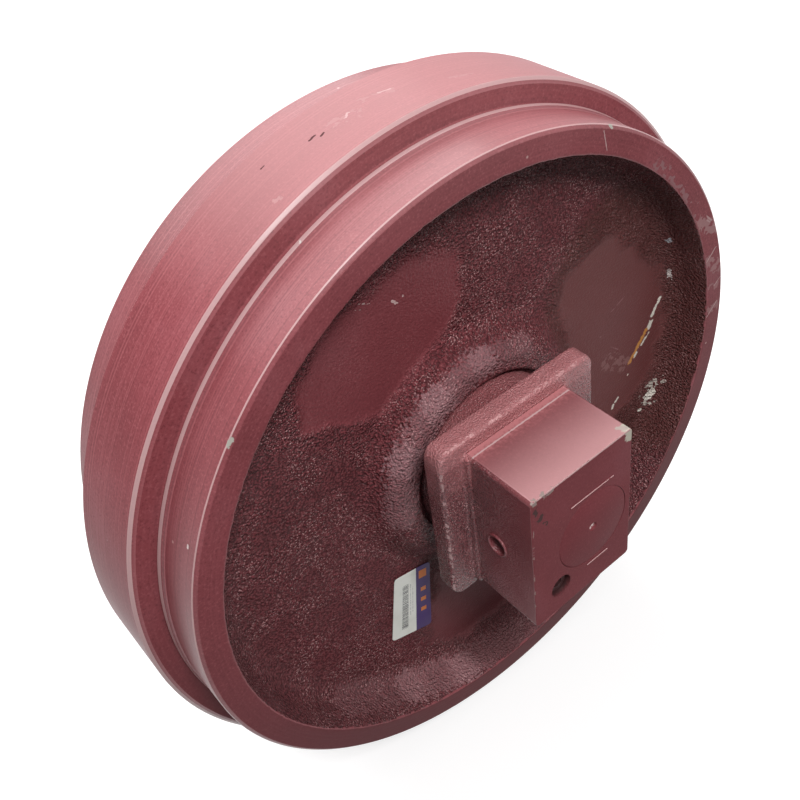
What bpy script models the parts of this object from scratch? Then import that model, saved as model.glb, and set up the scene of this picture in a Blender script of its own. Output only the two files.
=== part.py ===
"""Front idler of a crawler excavator: a cast wheel with a centre flange, turning on a fixed shaft.

Metres, +Z up. The origin is the wheel's centre on its axle. The axle runs along Y, the near end of the
object is at -Y, and the longer side of both bracket blocks faces -X, towards the track adjuster.
Turned pieces are drawn as (radius, station) outlines, where station is the distance from the wheel's
middle plane towards the near end.
"""

import math

import bmesh
import bpy
from mathutils import Vector

MM = 0.001

# Clearances
GAP = 0.3 * MM
RUNNING_GAP = 1.5 * MM
FACET_STEPS = 60
SHAFT_STEPS = 30
SMALL_STEPS = 18
SECTION_SIDES = 5

# Shaft
JOURNAL_RADIUS = 35 * MM
SHAFT_STEP = 3 * MM
END_FACE_STATION = 163 * MM
SHAFT_RECESS = 0.5 * MM
SHAFT_CHAMFER = 1 * MM
CENTRE_HOLE_RADIUS = 3.5 * MM
CENTRE_HOLE_DEPTH = 6 * MM
SHAFT_END_RADIUS = JOURNAL_RADIUS - SHAFT_STEP

# Flanged bushes in the hub
BUSH_WALL = 5 * MM
BUSH_FLANGE_HEIGHT = 3.2 * MM
BUSH_FLANGE_THICKNESS = 4 * MM
BUSH_RADIUS = JOURNAL_RADIUS + GAP + BUSH_WALL
BUSH_FLANGE_RADIUS = BUSH_RADIUS + BUSH_FLANGE_HEIGHT
HUB_BORE_RADIUS = BUSH_RADIUS + GAP

# Floating seals, each in a cavity that the hub and the bracket's boss share
SEAL_FACE_STATION = 58 * MM
SEAL_RING_NECK_WALL = 5.5 * MM
SEAL_RING_LIP_HEIGHT = 4.5 * MM
SEAL_RING_LIP = 2.5 * MM
SEAL_RING_WIDTH = 9 * MM
SEAL_BACK_ROOM = 3 * MM
TORIC_ROOM = 7 * MM
SEAL_RING_INNER_RADIUS = BUSH_FLANGE_RADIUS + RUNNING_GAP
SEAL_RING_NECK_RADIUS = SEAL_RING_INNER_RADIUS + SEAL_RING_NECK_WALL
SEAL_RING_LIP_RADIUS = SEAL_RING_NECK_RADIUS + SEAL_RING_LIP_HEIGHT
SEAL_CAVITY_RADIUS = SEAL_RING_NECK_RADIUS + TORIC_ROOM
SEAL_CAVITY_DEPTH = SEAL_RING_WIDTH + SEAL_BACK_ROOM
BUSH_SEAT_STATION = SEAL_FACE_STATION - SEAL_CAVITY_DEPTH
THRUST_STATION = BUSH_SEAT_STATION + GAP + BUSH_FLANGE_THICKNESS
SHOULDER_BEYOND_SEAL = 2 * MM
SHAFT_SHOULDER = SEAL_FACE_STATION + SHOULDER_BEYOND_SEAL
ORING_BEYOND_SHOULDER = 16 * MM
ORING_STATION = SHAFT_SHOULDER + ORING_BEYOND_SHOULDER
ORING_GROOVE_DEPTH = 4 * MM

# Wheel casting
TREAD_RADIUS = 252 * MM
FLANGE_HEIGHT = 18 * MM
FLANGE_WIDTH = 66 * MM
FLANGE_CHAMFER = 2.2 * MM
RIM_WIDTH = 154 * MM
RIM_CHAMFER = 1.9 * MM
RIM_FACE = 20.5 * MM
ROOT_FILLET = 7.3 * MM
DISH_BEVEL = 1.5 * MM
DISH_DRAFT = 5 * MM
DISH_FILLET = 18 * MM
WEB_STATION = 44 * MM
WEB_DISHING = 3 * MM
WEB_WALL = 13 * MM
RIM_WALL = 12 * MM
BOSS_WALL = 7 * MM
HUB_LIP_GAP = 3.5 * MM
HUB_LIP_WALL = 12 * MM
HUB_LIP_DEPTH = 7 * MM
HUB_SLOPE = 28 * MM
HUB_COVER = 5.5 * MM
HUB_WALL = 20 * MM
OIL_CHAMBER_HALF = 7 * MM
OIL_CHAMBER_DEPTH = 4 * MM
CORE_HOLES = 3
CORE_HOLE_RADIUS = 6 * MM
FLANGE_RADIUS = TREAD_RADIUS + FLANGE_HEIGHT
FLANGE_HALF = FLANGE_WIDTH / 2
RIM_HALF = RIM_WIDTH / 2
DISH_RADIUS = TREAD_RADIUS - RIM_FACE
BOSS_RADIUS = SEAL_CAVITY_RADIUS + BOSS_WALL
HUB_LIP_RADIUS = BOSS_RADIUS + HUB_LIP_GAP
HUB_TOP_RADIUS = HUB_LIP_RADIUS + HUB_LIP_WALL
HUB_FOOT_RADIUS = HUB_TOP_RADIUS + HUB_SLOPE
HUB_STATION = SEAL_FACE_STATION + HUB_COVER

# Brackets
BOSS_NOSE_STEP = 0.5 * MM
BOSS_NOSE_RADIUS = BUSH_FLANGE_RADIUS - BOSS_NOSE_STEP
COLLAR_GAP = 9.5 * MM
COLLAR_THICKNESS = 16 * MM
COLLAR_REAR_MARGIN = 12.5 * MM
COLLAR_FRONT_MARGIN = 1.5 * MM
COLLAR_TOP_MARGIN = 13.5 * MM
COLLAR_BOTTOM_MARGIN = 0.5 * MM
COLLAR_CORNER = 10 * MM
COLLAR_BACK = RIM_HALF + COLLAR_GAP
COLLAR_FACE = COLLAR_BACK + COLLAR_THICKNESS
COLLAR_REAR = BOSS_RADIUS + COLLAR_REAR_MARGIN
COLLAR_FRONT = BOSS_RADIUS + COLLAR_FRONT_MARGIN
COLLAR_TOP = BOSS_RADIUS + COLLAR_TOP_MARGIN
COLLAR_BOTTOM = BOSS_RADIUS + COLLAR_BOTTOM_MARGIN
BLOCK_REAR_WALL = 24 * MM
BLOCK_FRONT_WALL = 5 * MM
BLOCK_TOP_WALL = 35 * MM
BLOCK_BOTTOM_WALL = 26 * MM
BLOCK_CORNER = 5 * MM
PLINTH_MARGIN = 5 * MM
PLINTH_HEIGHT = 5 * MM
CAST_EDGE = 2.5 * MM
BLOCK_REAR = SHAFT_END_RADIUS + BLOCK_REAR_WALL
BLOCK_FRONT = SHAFT_END_RADIUS + BLOCK_FRONT_WALL
BLOCK_TOP = SHAFT_END_RADIUS + BLOCK_TOP_WALL
BLOCK_BOTTOM = SHAFT_END_RADIUS + BLOCK_BOTTOM_WALL

# Lock pin through the block and the shaft
PIN_RADIUS = 7 * MM
PIN_FROM_END = 34 * MM
PIN_RECESS = 4 * MM
PIN_CHAMFER = 1.5 * MM
PIN_STATION = END_FACE_STATION - PIN_FROM_END

# Oil plug in the end face of the block, towards its rear lower corner
PLUG_RADIUS = 8.5 * MM
PLUG_WALL = 5.6 * MM
PLUG_ANGLE = 42.4
PLUG_LENGTH = 17 * MM
PLUG_RECESS = 4 * MM
PLUG_SOCKET_RADIUS = 4.6 * MM
PLUG_SOCKET_DEPTH = 7 * MM
OIL_WAY_RADIUS = 3 * MM
PLUG_OFFSET = SHAFT_END_RADIUS + PLUG_WALL + PLUG_RADIUS + 2 * GAP
PLUG_REARWARD = PLUG_OFFSET * math.sin(math.radians(PLUG_ANGLE))
PLUG_DROP = PLUG_OFFSET * math.cos(math.radians(PLUG_ANGLE))

NEAR, FAR = 1, -1
HEXAGON = 6


def material(name, colour, roughness, metallic):
    made = bpy.data.materials.new(name)
    made.use_nodes = True
    shader = made.node_tree.nodes["Principled BSDF"]
    shader.inputs["Base Color"].default_value = (*colour, 1)
    shader.inputs["Roughness"].default_value = roughness
    shader.inputs["Metallic"].default_value = metallic
    made.diffuse_color = (*colour, 1)
    return made


def link(name, mesh, collection, finish=None):
    made = bpy.data.objects.new(name, mesh)
    collection.objects.link(made)
    if finish:
        mesh.materials.append(finish)
    return made


def hide_cutter(cutter):
    cutter.hide_render = True
    cutter.display_type = "WIRE"
    return cutter


def arc(centre, radius, start, end, steps):
    """Points of an arc in (radius, station), angles in degrees from the radius direction."""
    points = []
    for step in range(steps + 1):
        angle = math.radians(start + (end - start) * step / steps)
        points.append((centre[0] + radius * math.cos(angle), centre[1] + radius * math.sin(angle)))
    return points


def signed_area(outline):
    return 0.5 * sum(
        a[0] * b[1] - b[0] * a[1] for a, b in zip(outline, outline[1:] + outline[:1])
    )


def turned(name, outline, side, steps, collection, finish=None, closed=True):
    """A turned piece on the axle. side is NEAR or FAR; a FAR piece is the mirror image."""
    placed = [(radius, station * side) for radius, station in outline]
    if (signed_area(placed) > 0) == closed:
        placed.reverse()
    if not closed and placed[0][1] < placed[-1][1]:
        placed.reverse()
    half_facet = math.pi / steps
    mesh = bpy.data.meshes.new(name)
    profile = bmesh.new()
    dots = [
        profile.verts.new((r * math.cos(half_facet), r * math.sin(half_facet), z)) for r, z in placed
    ]
    for first, second in zip(dots, dots[1:]):
        profile.edges.new((first, second))
    if closed:
        profile.edges.new((dots[-1], dots[0]))
    profile.to_mesh(mesh)
    profile.free()
    piece = link(name, mesh, collection, finish)
    screw = piece.modifiers.new("Turn", "SCREW")
    screw.axis = "Z"
    screw.angle = math.tau
    screw.steps = steps
    screw.render_steps = steps
    screw.use_smooth_shade = False
    screw.use_merge_vertices = True
    screw.merge_threshold = 0.00005
    piece.rotation_euler = (math.pi / 2, 0, 0)
    return piece


def rod(name, radius, start, end, steps, collection, finish=None, chamfer=0.0):
    """A straight round piece between two points, with chamfered ends."""
    start, end = Vector(start), Vector(end)
    mesh = bpy.data.meshes.new(name)
    body = bmesh.new()
    length = (end - start).length
    bmesh.ops.create_cone(
        body, cap_ends=True, segments=steps, radius1=radius, radius2=radius, depth=length
    )
    if chamfer:
        rims = [e for e in body.edges if abs(e.verts[0].co.z - e.verts[1].co.z) < length / 2]
        bmesh.ops.bevel(body, geom=rims, offset=chamfer, segments=1, affect="EDGES")
    body.to_mesh(mesh)
    body.free()
    piece = link(name, mesh, collection, finish)
    piece.rotation_mode = "QUATERNION"
    piece.rotation_quaternion = (end - start).to_track_quat("Z", "Y")
    piece.location = (start + end) / 2
    return piece


def cut(piece, cutter, operation="DIFFERENCE"):
    tool = piece.modifiers.new(cutter.name, "BOOLEAN")
    tool.operation = operation
    tool.solver = "EXACT"
    tool.object = cutter


def smooth(piece, angle=30):
    piece.data.shade_smooth()
    piece.data.set_sharp_from_angle(angle=math.radians(angle))


def wheel_outline():
    """The near half of the wheel casting, from the flange's edge to the oil chamber."""
    web_rise = WEB_DISHING / (DISH_RADIUS - HUB_FOOT_RADIUS)
    fillet_foot = DISH_RADIUS - DISH_DRAFT - DISH_FILLET
    web_at_fillet = WEB_STATION
    web_at_hub = WEB_STATION - web_rise * (fillet_foot - HUB_FOOT_RADIUS)
    hub_rise = HUB_STATION - web_at_hub
    hub_run = HUB_FOOT_RADIUS - HUB_TOP_RADIUS
    outline = [
        (FLANGE_RADIUS, FLANGE_HALF - FLANGE_CHAMFER),
        (FLANGE_RADIUS - FLANGE_CHAMFER, FLANGE_HALF),
    ]
    outline += arc(
        (TREAD_RADIUS + ROOT_FILLET, FLANGE_HALF + ROOT_FILLET), ROOT_FILLET, 270, 180, 2
    )
    outline += [
        (TREAD_RADIUS, RIM_HALF - RIM_CHAMFER),
        (TREAD_RADIUS - RIM_CHAMFER, RIM_HALF),
        (DISH_RADIUS + DISH_BEVEL, RIM_HALF),
        (DISH_RADIUS, RIM_HALF - DISH_BEVEL),
    ]
    outline += arc(
        (fillet_foot, web_at_fillet + DISH_FILLET), DISH_FILLET, 0, -90, 3
    )
    for share in (0.0, 0.33, 0.66, 1.0):
        lift = 0.5 - 0.5 * math.cos(math.pi * share)
        outline.append((HUB_FOOT_RADIUS - hub_run * share, web_at_hub + hub_rise * lift))
    outline += [
        (HUB_LIP_RADIUS + RIM_CHAMFER, HUB_STATION),
        (HUB_LIP_RADIUS, HUB_STATION - RIM_CHAMFER),
        (HUB_LIP_RADIUS, HUB_STATION - HUB_LIP_DEPTH),
        (SEAL_CAVITY_RADIUS, HUB_STATION - HUB_LIP_DEPTH),
        (SEAL_CAVITY_RADIUS, BUSH_SEAT_STATION),
        (HUB_BORE_RADIUS, BUSH_SEAT_STATION),
        (HUB_BORE_RADIUS, OIL_CHAMBER_HALF),
        (HUB_BORE_RADIUS + OIL_CHAMBER_DEPTH, OIL_CHAMBER_HALF),
    ]
    return outline, web_at_hub


def ring_section(middle, section):
    """The round section of a rubber ring."""
    return arc(middle, section, 0, 360 - 360 / SECTION_SIDES, SECTION_SIDES - 1)


def mirrored(half):
    """A whole outline from its near half: the far half runs back from the last point to the first."""
    return half + [(radius, -station) for radius, station in reversed(half)]


def make_wheel(pieces, cutters, finish):
    half, web_at_hub = wheel_outline()
    wheel = turned("wheel_shell", mirrored(half), NEAR, FACET_STEPS, pieces, finish)
    hollow_outer = TREAD_RADIUS - RIM_WALL
    hollow_inner = HUB_BORE_RADIUS + OIL_CHAMBER_DEPTH + HUB_WALL
    hollow_half = web_at_hub - WEB_WALL
    outer_share, shoulder_share, inner_share = 0.6, 0.8, 0.5
    hollow = mirrored(
        [
            (hollow_outer, hollow_half * outer_share),
            (hollow_outer - DISH_FILLET / 2, hollow_half),
            (HUB_FOOT_RADIUS, hollow_half),
            (hollow_inner + DISH_FILLET / 2, hollow_half * shoulder_share),
            (hollow_inner, hollow_half * inner_share),
        ]
    )
    cut(wheel, hide_cutter(turned("wheel_hollow", hollow, NEAR, FACET_STEPS, cutters)))
    reach = hollow_inner + DISH_FILLET
    for index in range(CORE_HOLES):
        angle = math.tau * (index + 0.5) / CORE_HOLES
        way = Vector((math.cos(angle), 0, math.sin(angle)))
        ends = way * JOURNAL_RADIUS, way * reach
        drill = rod(f"core_hole_{index + 1}", CORE_HOLE_RADIUS, *ends, SMALL_STEPS, cutters)
        cut(wheel, hide_cutter(drill))
    smooth(wheel)
    return wheel


def make_bush(name, side, pieces, finish):
    outline = [
        (BUSH_FLANGE_RADIUS, THRUST_STATION),
        (BUSH_FLANGE_RADIUS, BUSH_SEAT_STATION + GAP),
        (BUSH_RADIUS, BUSH_SEAT_STATION + GAP),
        (BUSH_RADIUS, OIL_CHAMBER_HALF + GAP),
        (JOURNAL_RADIUS + GAP, OIL_CHAMBER_HALF + GAP),
        (JOURNAL_RADIUS + GAP, THRUST_STATION),
    ]
    bush = turned(name, outline, side, SHAFT_STEPS, pieces, finish)
    smooth(bush)
    return bush


def seal_ring_outline(face, away):
    """A seal ring whose running face is at station face; away is +1 or -1, towards its rubber ring."""
    back = face + away * SEAL_RING_WIDTH
    lip = face + away * SEAL_RING_LIP
    return [
        (SEAL_RING_LIP_RADIUS, face),
        (SEAL_RING_LIP_RADIUS, lip),
        (SEAL_RING_NECK_RADIUS, lip + away * GAP),
        (SEAL_RING_NECK_RADIUS - RUNNING_GAP / 2, back),
        (SEAL_RING_INNER_RADIUS, back),
        (SEAL_RING_INNER_RADIUS, face),
    ]


def make_seal_pair(label, side, pieces, metal, rubber):
    """One floating seal: two metal rings face to face, each in its own rubber ring."""
    made = {}
    section = (SEAL_CAVITY_RADIUS - SEAL_RING_NECK_RADIUS) / 2 - GAP
    middle = (SEAL_CAVITY_RADIUS + SEAL_RING_NECK_RADIUS) / 2
    for owner, away in (("wheel", -1), ("bracket", 1)):
        face = SEAL_FACE_STATION + away * GAP / 2
        ring = turned(
            f"seal_ring_{owner}_{label}", seal_ring_outline(face, away), side, SHAFT_STEPS, pieces, metal
        )
        station = face + away * (SEAL_RING_LIP + 2 * GAP + section)
        toric = turned(
            f"toric_ring_{owner}_{label}", ring_section((middle, station), section), side, SHAFT_STEPS,
            pieces, rubber
        )
        smooth(ring)
        smooth(toric, 60)
        made[owner] = (ring, toric)
    return made


def shaft_outline():
    end = END_FACE_STATION - SHAFT_RECESS
    groove_half = ORING_GROOVE_DEPTH / 2 + GAP
    groove = (ORING_STATION - groove_half, ORING_STATION + groove_half)
    half = [
        (JOURNAL_RADIUS, SHAFT_SHOULDER),
        (SHAFT_END_RADIUS, SHAFT_SHOULDER),
        (SHAFT_END_RADIUS, groove[0]),
        (SHAFT_END_RADIUS - ORING_GROOVE_DEPTH, groove[0]),
        (SHAFT_END_RADIUS - ORING_GROOVE_DEPTH, groove[1]),
        (SHAFT_END_RADIUS, groove[1]),
        (SHAFT_END_RADIUS, end - SHAFT_CHAMFER),
        (SHAFT_END_RADIUS - SHAFT_CHAMFER, end),
        (CENTRE_HOLE_RADIUS, end),
        (0.0, end - CENTRE_HOLE_DEPTH),
    ]
    return [(radius, station) for radius, station in reversed(half)] + [
        (radius, -station) for radius, station in half
    ]


def make_shaft(pieces, cutters, finish):
    shaft = turned("shaft", shaft_outline(), NEAR, SHAFT_STEPS, pieces, finish, closed=False)
    reach = SHAFT_END_RADIUS * 2
    for side, label in ((NEAR, "near"), (FAR, "far")):
        y = -side * PIN_STATION
        ends = (-reach, y, 0), (reach, y, 0)
        drill = rod(f"cross_hole_{label}", PIN_RADIUS + GAP, *ends, SMALL_STEPS, cutters)
        cut(shaft, hide_cutter(drill))
    smooth(shaft)
    return shaft


def make_oring(name, side, pieces, finish):
    section = (ORING_GROOVE_DEPTH - GAP) / 2
    middle = SHAFT_END_RADIUS - ORING_GROOVE_DEPTH + GAP + section
    ring = turned(
        name, ring_section((middle, ORING_STATION), section), side, SHAFT_STEPS, pieces, finish
    )
    smooth(ring, 60)
    return ring


def lengthwise_edges(body, length):
    """The edges that run along the axle, in a block of this length."""
    return [e for e in body.edges if abs(e.verts[0].co.y - e.verts[1].co.y) > length / 2]


def slab(name, rear, front, bottom, top, start, end, corner, edge, side, collection, finish=None):
    """A rectangular cast form between two stations, with rounded corners along the axle."""
    mesh = bpy.data.meshes.new(name)
    body = bmesh.new()
    bmesh.ops.create_cube(body, size=1)
    bmesh.ops.scale(body, vec=(front + rear, end - start, top + bottom), verts=body.verts)
    centre = Vector(((front - rear) / 2, -side * (start + end) / 2, (top - bottom) / 2))
    bmesh.ops.translate(body, vec=centre, verts=body.verts)
    along = lengthwise_edges(body, end - start)
    bmesh.ops.bevel(body, geom=along, offset=corner, segments=3, profile=0.5, affect="EDGES")
    outer = -side * end
    rim = [e for e in body.edges if all(abs(v.co.y - outer) < GAP for v in e.verts)]
    bmesh.ops.bevel(body, geom=rim, offset=edge, segments=2, profile=0.5, affect="EDGES")
    body.to_mesh(mesh)
    body.free()
    return link(name, mesh, collection, finish)


def plinth(name, side, collection):
    """The sloping foot that joins the block to the collar."""
    mesh = bpy.data.meshes.new(name)
    body = bmesh.new()
    start, end = COLLAR_FACE - CAST_EDGE, COLLAR_FACE + PLINTH_HEIGHT
    wide = (BLOCK_REAR + BLOCK_FRONT + 2 * PLINTH_MARGIN, BLOCK_TOP + BLOCK_BOTTOM + 2 * PLINTH_MARGIN)
    narrow = (BLOCK_REAR + BLOCK_FRONT - 2 * GAP, BLOCK_TOP + BLOCK_BOTTOM - 2 * GAP)
    bmesh.ops.create_cube(body, size=1)
    bmesh.ops.scale(body, vec=(1, end - start, 1), verts=body.verts)
    for vert in body.verts:
        size = narrow if vert.co.y * -side > 0 else wide
        vert.co.x *= size[0]
        vert.co.z *= size[1]
    along = lengthwise_edges(body, end - start)
    bmesh.ops.bevel(body, geom=along, offset=BLOCK_CORNER, segments=3, profile=0.5, affect="EDGES")
    centre = ((BLOCK_FRONT - BLOCK_REAR) / 2, -side * (start + end) / 2, (BLOCK_TOP - BLOCK_BOTTOM) / 2)
    bmesh.ops.translate(body, vec=centre, verts=body.verts)
    body.to_mesh(mesh)
    body.free()
    return link(name, mesh, collection)


def boss_outline():
    """The round boss with its seal cavity, and the nose that takes the bush's thrust."""
    floor = SEAL_FACE_STATION + SEAL_CAVITY_DEPTH
    rim = SEAL_FACE_STATION + GAP * 2
    root = COLLAR_BACK + COLLAR_THICKNESS / 2
    return [
        (0.0, root),
        (BOSS_RADIUS, root),
        (BOSS_RADIUS, rim + SHAFT_CHAMFER),
        (BOSS_RADIUS - SHAFT_CHAMFER, rim),
        (SEAL_CAVITY_RADIUS, rim),
        (SEAL_CAVITY_RADIUS, floor),
        (BOSS_NOSE_RADIUS, floor),
        (BOSS_NOSE_RADIUS, THRUST_STATION + GAP),
        (0.0, THRUST_STATION + GAP),
    ]


def plug_point(side, station):
    """A point on the axis of the oil plug and its way."""
    return (-PLUG_REARWARD, -side * station, -PLUG_DROP)


def make_bracket(name, side, pieces, cutters, finish):
    label = name.split("_")[-1]
    bracket = slab(
        name, COLLAR_REAR, COLLAR_FRONT, COLLAR_BOTTOM, COLLAR_TOP, COLLAR_BACK, COLLAR_FACE,
        COLLAR_CORNER, CAST_EDGE, side, pieces, finish
    )
    block = slab(
        f"block_{label}", BLOCK_REAR, BLOCK_FRONT, BLOCK_BOTTOM, BLOCK_TOP, COLLAR_BACK + CAST_EDGE,
        END_FACE_STATION, BLOCK_CORNER, CAST_EDGE, side, cutters
    )
    cut(bracket, hide_cutter(plinth(f"plinth_{label}", side, cutters)), "UNION")
    cut(bracket, hide_cutter(block), "UNION")
    boss = turned(f"boss_{label}", boss_outline(), side, SHAFT_STEPS, cutters, closed=False)
    cut(bracket, hide_cutter(boss), "UNION")
    inside = BUSH_SEAT_STATION
    beyond = END_FACE_STATION + PLUG_LENGTH
    for bore_name, radius, depth in (
        (f"bore_{label}", SHAFT_END_RADIUS + GAP, beyond),
        (f"counterbore_{label}", JOURNAL_RADIUS + GAP, SHAFT_SHOULDER + GAP),
    ):
        ends = (0, -side * inside, 0), (0, -side * depth, 0)
        cut(bracket, hide_cutter(rod(bore_name, radius, *ends, SHAFT_STEPS, cutters)))
    y = -side * PIN_STATION
    reach = COLLAR_REAR
    ends = (-reach, y, 0), (reach, y, 0)
    pin_way = rod(f"pin_way_{label}", PIN_RADIUS + GAP, *ends, SMALL_STEPS, cutters)
    cut(bracket, hide_cutter(pin_way))
    plug_foot = END_FACE_STATION - PLUG_RECESS - PLUG_LENGTH - GAP
    plug_ends = plug_point(side, plug_foot), plug_point(side, beyond)
    plug_way = rod(f"plug_way_{label}", PLUG_RADIUS + GAP, *plug_ends, SMALL_STEPS, cutters)
    cut(bracket, hide_cutter(plug_way))
    cavity_middle = SEAL_FACE_STATION + SEAL_CAVITY_DEPTH / 2
    oil_ends = plug_point(side, cavity_middle), plug_point(side, plug_foot + PLUG_LENGTH / 2)
    oil_way = rod(f"oil_way_{label}", OIL_WAY_RADIUS, *oil_ends, SMALL_STEPS, cutters)
    cut(bracket, hide_cutter(oil_way))
    smooth(bracket)
    return bracket


def make_pin(name, side, pieces, finish):
    y = -side * PIN_STATION
    ends = (-BLOCK_REAR + PIN_RECESS, y, 0), (BLOCK_FRONT - PIN_RECESS, y, 0)
    pin = rod(name, PIN_RADIUS, *ends, SMALL_STEPS, pieces, finish, PIN_CHAMFER)
    smooth(pin)
    return pin


def make_plug(name, side, pieces, cutters, finish):
    outer = END_FACE_STATION - PLUG_RECESS
    ends = plug_point(side, outer - PLUG_LENGTH), plug_point(side, outer)
    plug = rod(name, PLUG_RADIUS, *ends, SMALL_STEPS, pieces, finish, SHAFT_CHAMFER)
    ends = plug_point(side, outer - PLUG_SOCKET_DEPTH), plug_point(side, outer + PLUG_SOCKET_DEPTH)
    socket = rod(f"{name}_socket", PLUG_SOCKET_RADIUS, *ends, HEXAGON, cutters)
    cut(plug, hide_cutter(socket))
    smooth(plug)
    return plug


def attach(piece, parent):
    """Parents a piece and keeps it where it is."""
    piece.parent = parent
    piece.matrix_parent_inverse = parent.matrix_world.inverted()


def collection_named(name):
    made = bpy.data.collections.new(name)
    bpy.context.scene.collection.children.link(made)
    return made


def build():
    for old in list(bpy.data.objects):
        bpy.data.objects.remove(old, do_unlink=True)
    pieces = collection_named("front_idler")
    cutters = collection_named("cutters")
    paint = material("oxide_red_paint", (0.17, 0.05, 0.05), 0.42, 0.0)
    cast = material("painted_casting", (0.15, 0.045, 0.047), 0.5, 0.0)
    steel = material("ground_steel", (0.55, 0.54, 0.52), 0.3, 1.0)
    bronze = material("bush_bronze", (0.6, 0.42, 0.2), 0.35, 1.0)
    rubber = material("seal_rubber", (0.02, 0.02, 0.02), 0.7, 0.0)

    axle = bpy.data.objects.new("axle_frame", None)
    spin = bpy.data.objects.new("wheel_spin_axis", None)
    for empty in (axle, spin):
        pieces.objects.link(empty)

    turning = [make_wheel(pieces, cutters, cast)]
    fixed = [make_shaft(pieces, cutters, steel)]
    for side, label in ((NEAR, "near"), (FAR, "far")):
        turning.append(make_bush(f"bush_{label}", side, pieces, bronze))
        seals = make_seal_pair(label, side, pieces, steel, rubber)
        turning.extend(seals["wheel"])
        fixed.extend(seals["bracket"])
        fixed.append(make_bracket(f"bracket_{label}", side, pieces, cutters, paint))
        fixed.append(make_oring(f"shaft_oring_{label}", side, pieces, rubber))
        fixed.append(make_pin(f"lock_pin_{label}", side, pieces, steel))
        fixed.append(make_plug(f"oil_plug_{label}", side, pieces, cutters, steel))
    bpy.context.view_layer.update()
    attach(spin, axle)
    for piece in turning:
        attach(piece, spin)
    for piece in fixed:
        attach(piece, axle)


build()
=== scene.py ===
"""Looks for the front idler: its pieces in the order in which the real one is put together."""

import math

import bpy
from mathutils import Matrix, Vector, noise


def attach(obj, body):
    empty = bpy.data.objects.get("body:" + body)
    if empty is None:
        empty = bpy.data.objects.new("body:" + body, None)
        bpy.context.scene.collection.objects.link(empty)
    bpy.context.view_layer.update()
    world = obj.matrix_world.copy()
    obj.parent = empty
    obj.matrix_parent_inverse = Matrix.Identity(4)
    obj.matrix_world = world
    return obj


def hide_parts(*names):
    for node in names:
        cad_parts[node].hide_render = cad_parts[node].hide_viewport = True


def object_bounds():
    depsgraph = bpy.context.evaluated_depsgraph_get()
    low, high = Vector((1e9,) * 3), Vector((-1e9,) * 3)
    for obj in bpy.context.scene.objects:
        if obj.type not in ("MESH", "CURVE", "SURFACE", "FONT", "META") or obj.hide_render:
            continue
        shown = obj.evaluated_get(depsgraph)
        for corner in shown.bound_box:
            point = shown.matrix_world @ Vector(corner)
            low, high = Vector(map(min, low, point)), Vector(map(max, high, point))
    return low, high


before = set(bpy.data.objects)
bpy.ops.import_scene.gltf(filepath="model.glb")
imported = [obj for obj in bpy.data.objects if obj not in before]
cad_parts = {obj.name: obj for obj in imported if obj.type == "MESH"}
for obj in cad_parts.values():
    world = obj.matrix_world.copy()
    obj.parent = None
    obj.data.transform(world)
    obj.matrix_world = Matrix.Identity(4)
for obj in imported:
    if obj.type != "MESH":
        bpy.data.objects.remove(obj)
cad_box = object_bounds()

# Camera. The photographer stood close, above the near end and towards the rear, and looked down at the
# axle. Distance, lens and direction come from the circles and corners that the photograph shows.
VIEW_RIGHT = Vector((0.75815, -0.64504, -0.09559))
VIEW_DOWN = Vector((-0.45606, -0.41973, -0.78475))
VIEW_FORWARD = Vector((0.46607, 0.63855, -0.61239))
VIEW_FROM = Vector((-0.3385, -0.4697, 0.5441))
camera = bpy.data.objects.new("camera", bpy.data.cameras.new("camera"))
bpy.context.scene.collection.objects.link(camera)
camera.data.sensor_width = 36
camera.data.lens = 45.95
camera.data.shift_x = -0.0355
camera.data.shift_y = -0.1091
camera.data.clip_start = 0.01
turn = Matrix((VIEW_RIGHT, -VIEW_DOWN, -VIEW_FORWARD)).transposed().to_4x4()
camera.matrix_world = Matrix.Translation(VIEW_FROM) @ turn
bpy.context.scene.camera = camera

# Wheel casting. One iron casting with a turned flange, turned treads and turned rim faces. The dishes and
# the hub are left as cast, ground smooth in places, and all of it is sprayed with oxide red.
MM = 0.001
AROUND = 456
SECTORS = 24
TREAD, FLANGE, RIM_HALF, FLANGE_HALF = 0.252, 0.270, 0.077, 0.033
WEB, WEB_DROP, WEB_FILLET, FILLET_CENTRE = 0.044, 0.00244, 0.018, 0.2090
HUB_FOOT, HUB_TOP, HUB_LIP, HUB_FACE = 0.108, 0.080, 0.068, 0.0635


def straight(start, end, steps):
    """Points after start, up to and with end."""
    return [
        tuple(a + (b - a) * (step + 1) / steps for a, b in zip(start, end)) for step in range(steps)
    ]


def arc(centre, radius, start, end, steps):
    """Points of an arc; angles in degrees from the radius direction."""
    turns = [math.radians(start + (end - start) * step / steps) for step in range(steps + 1)]
    return [(centre[0] + radius * math.cos(t), centre[1] + radius * math.sin(t)) for t in turns]


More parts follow.
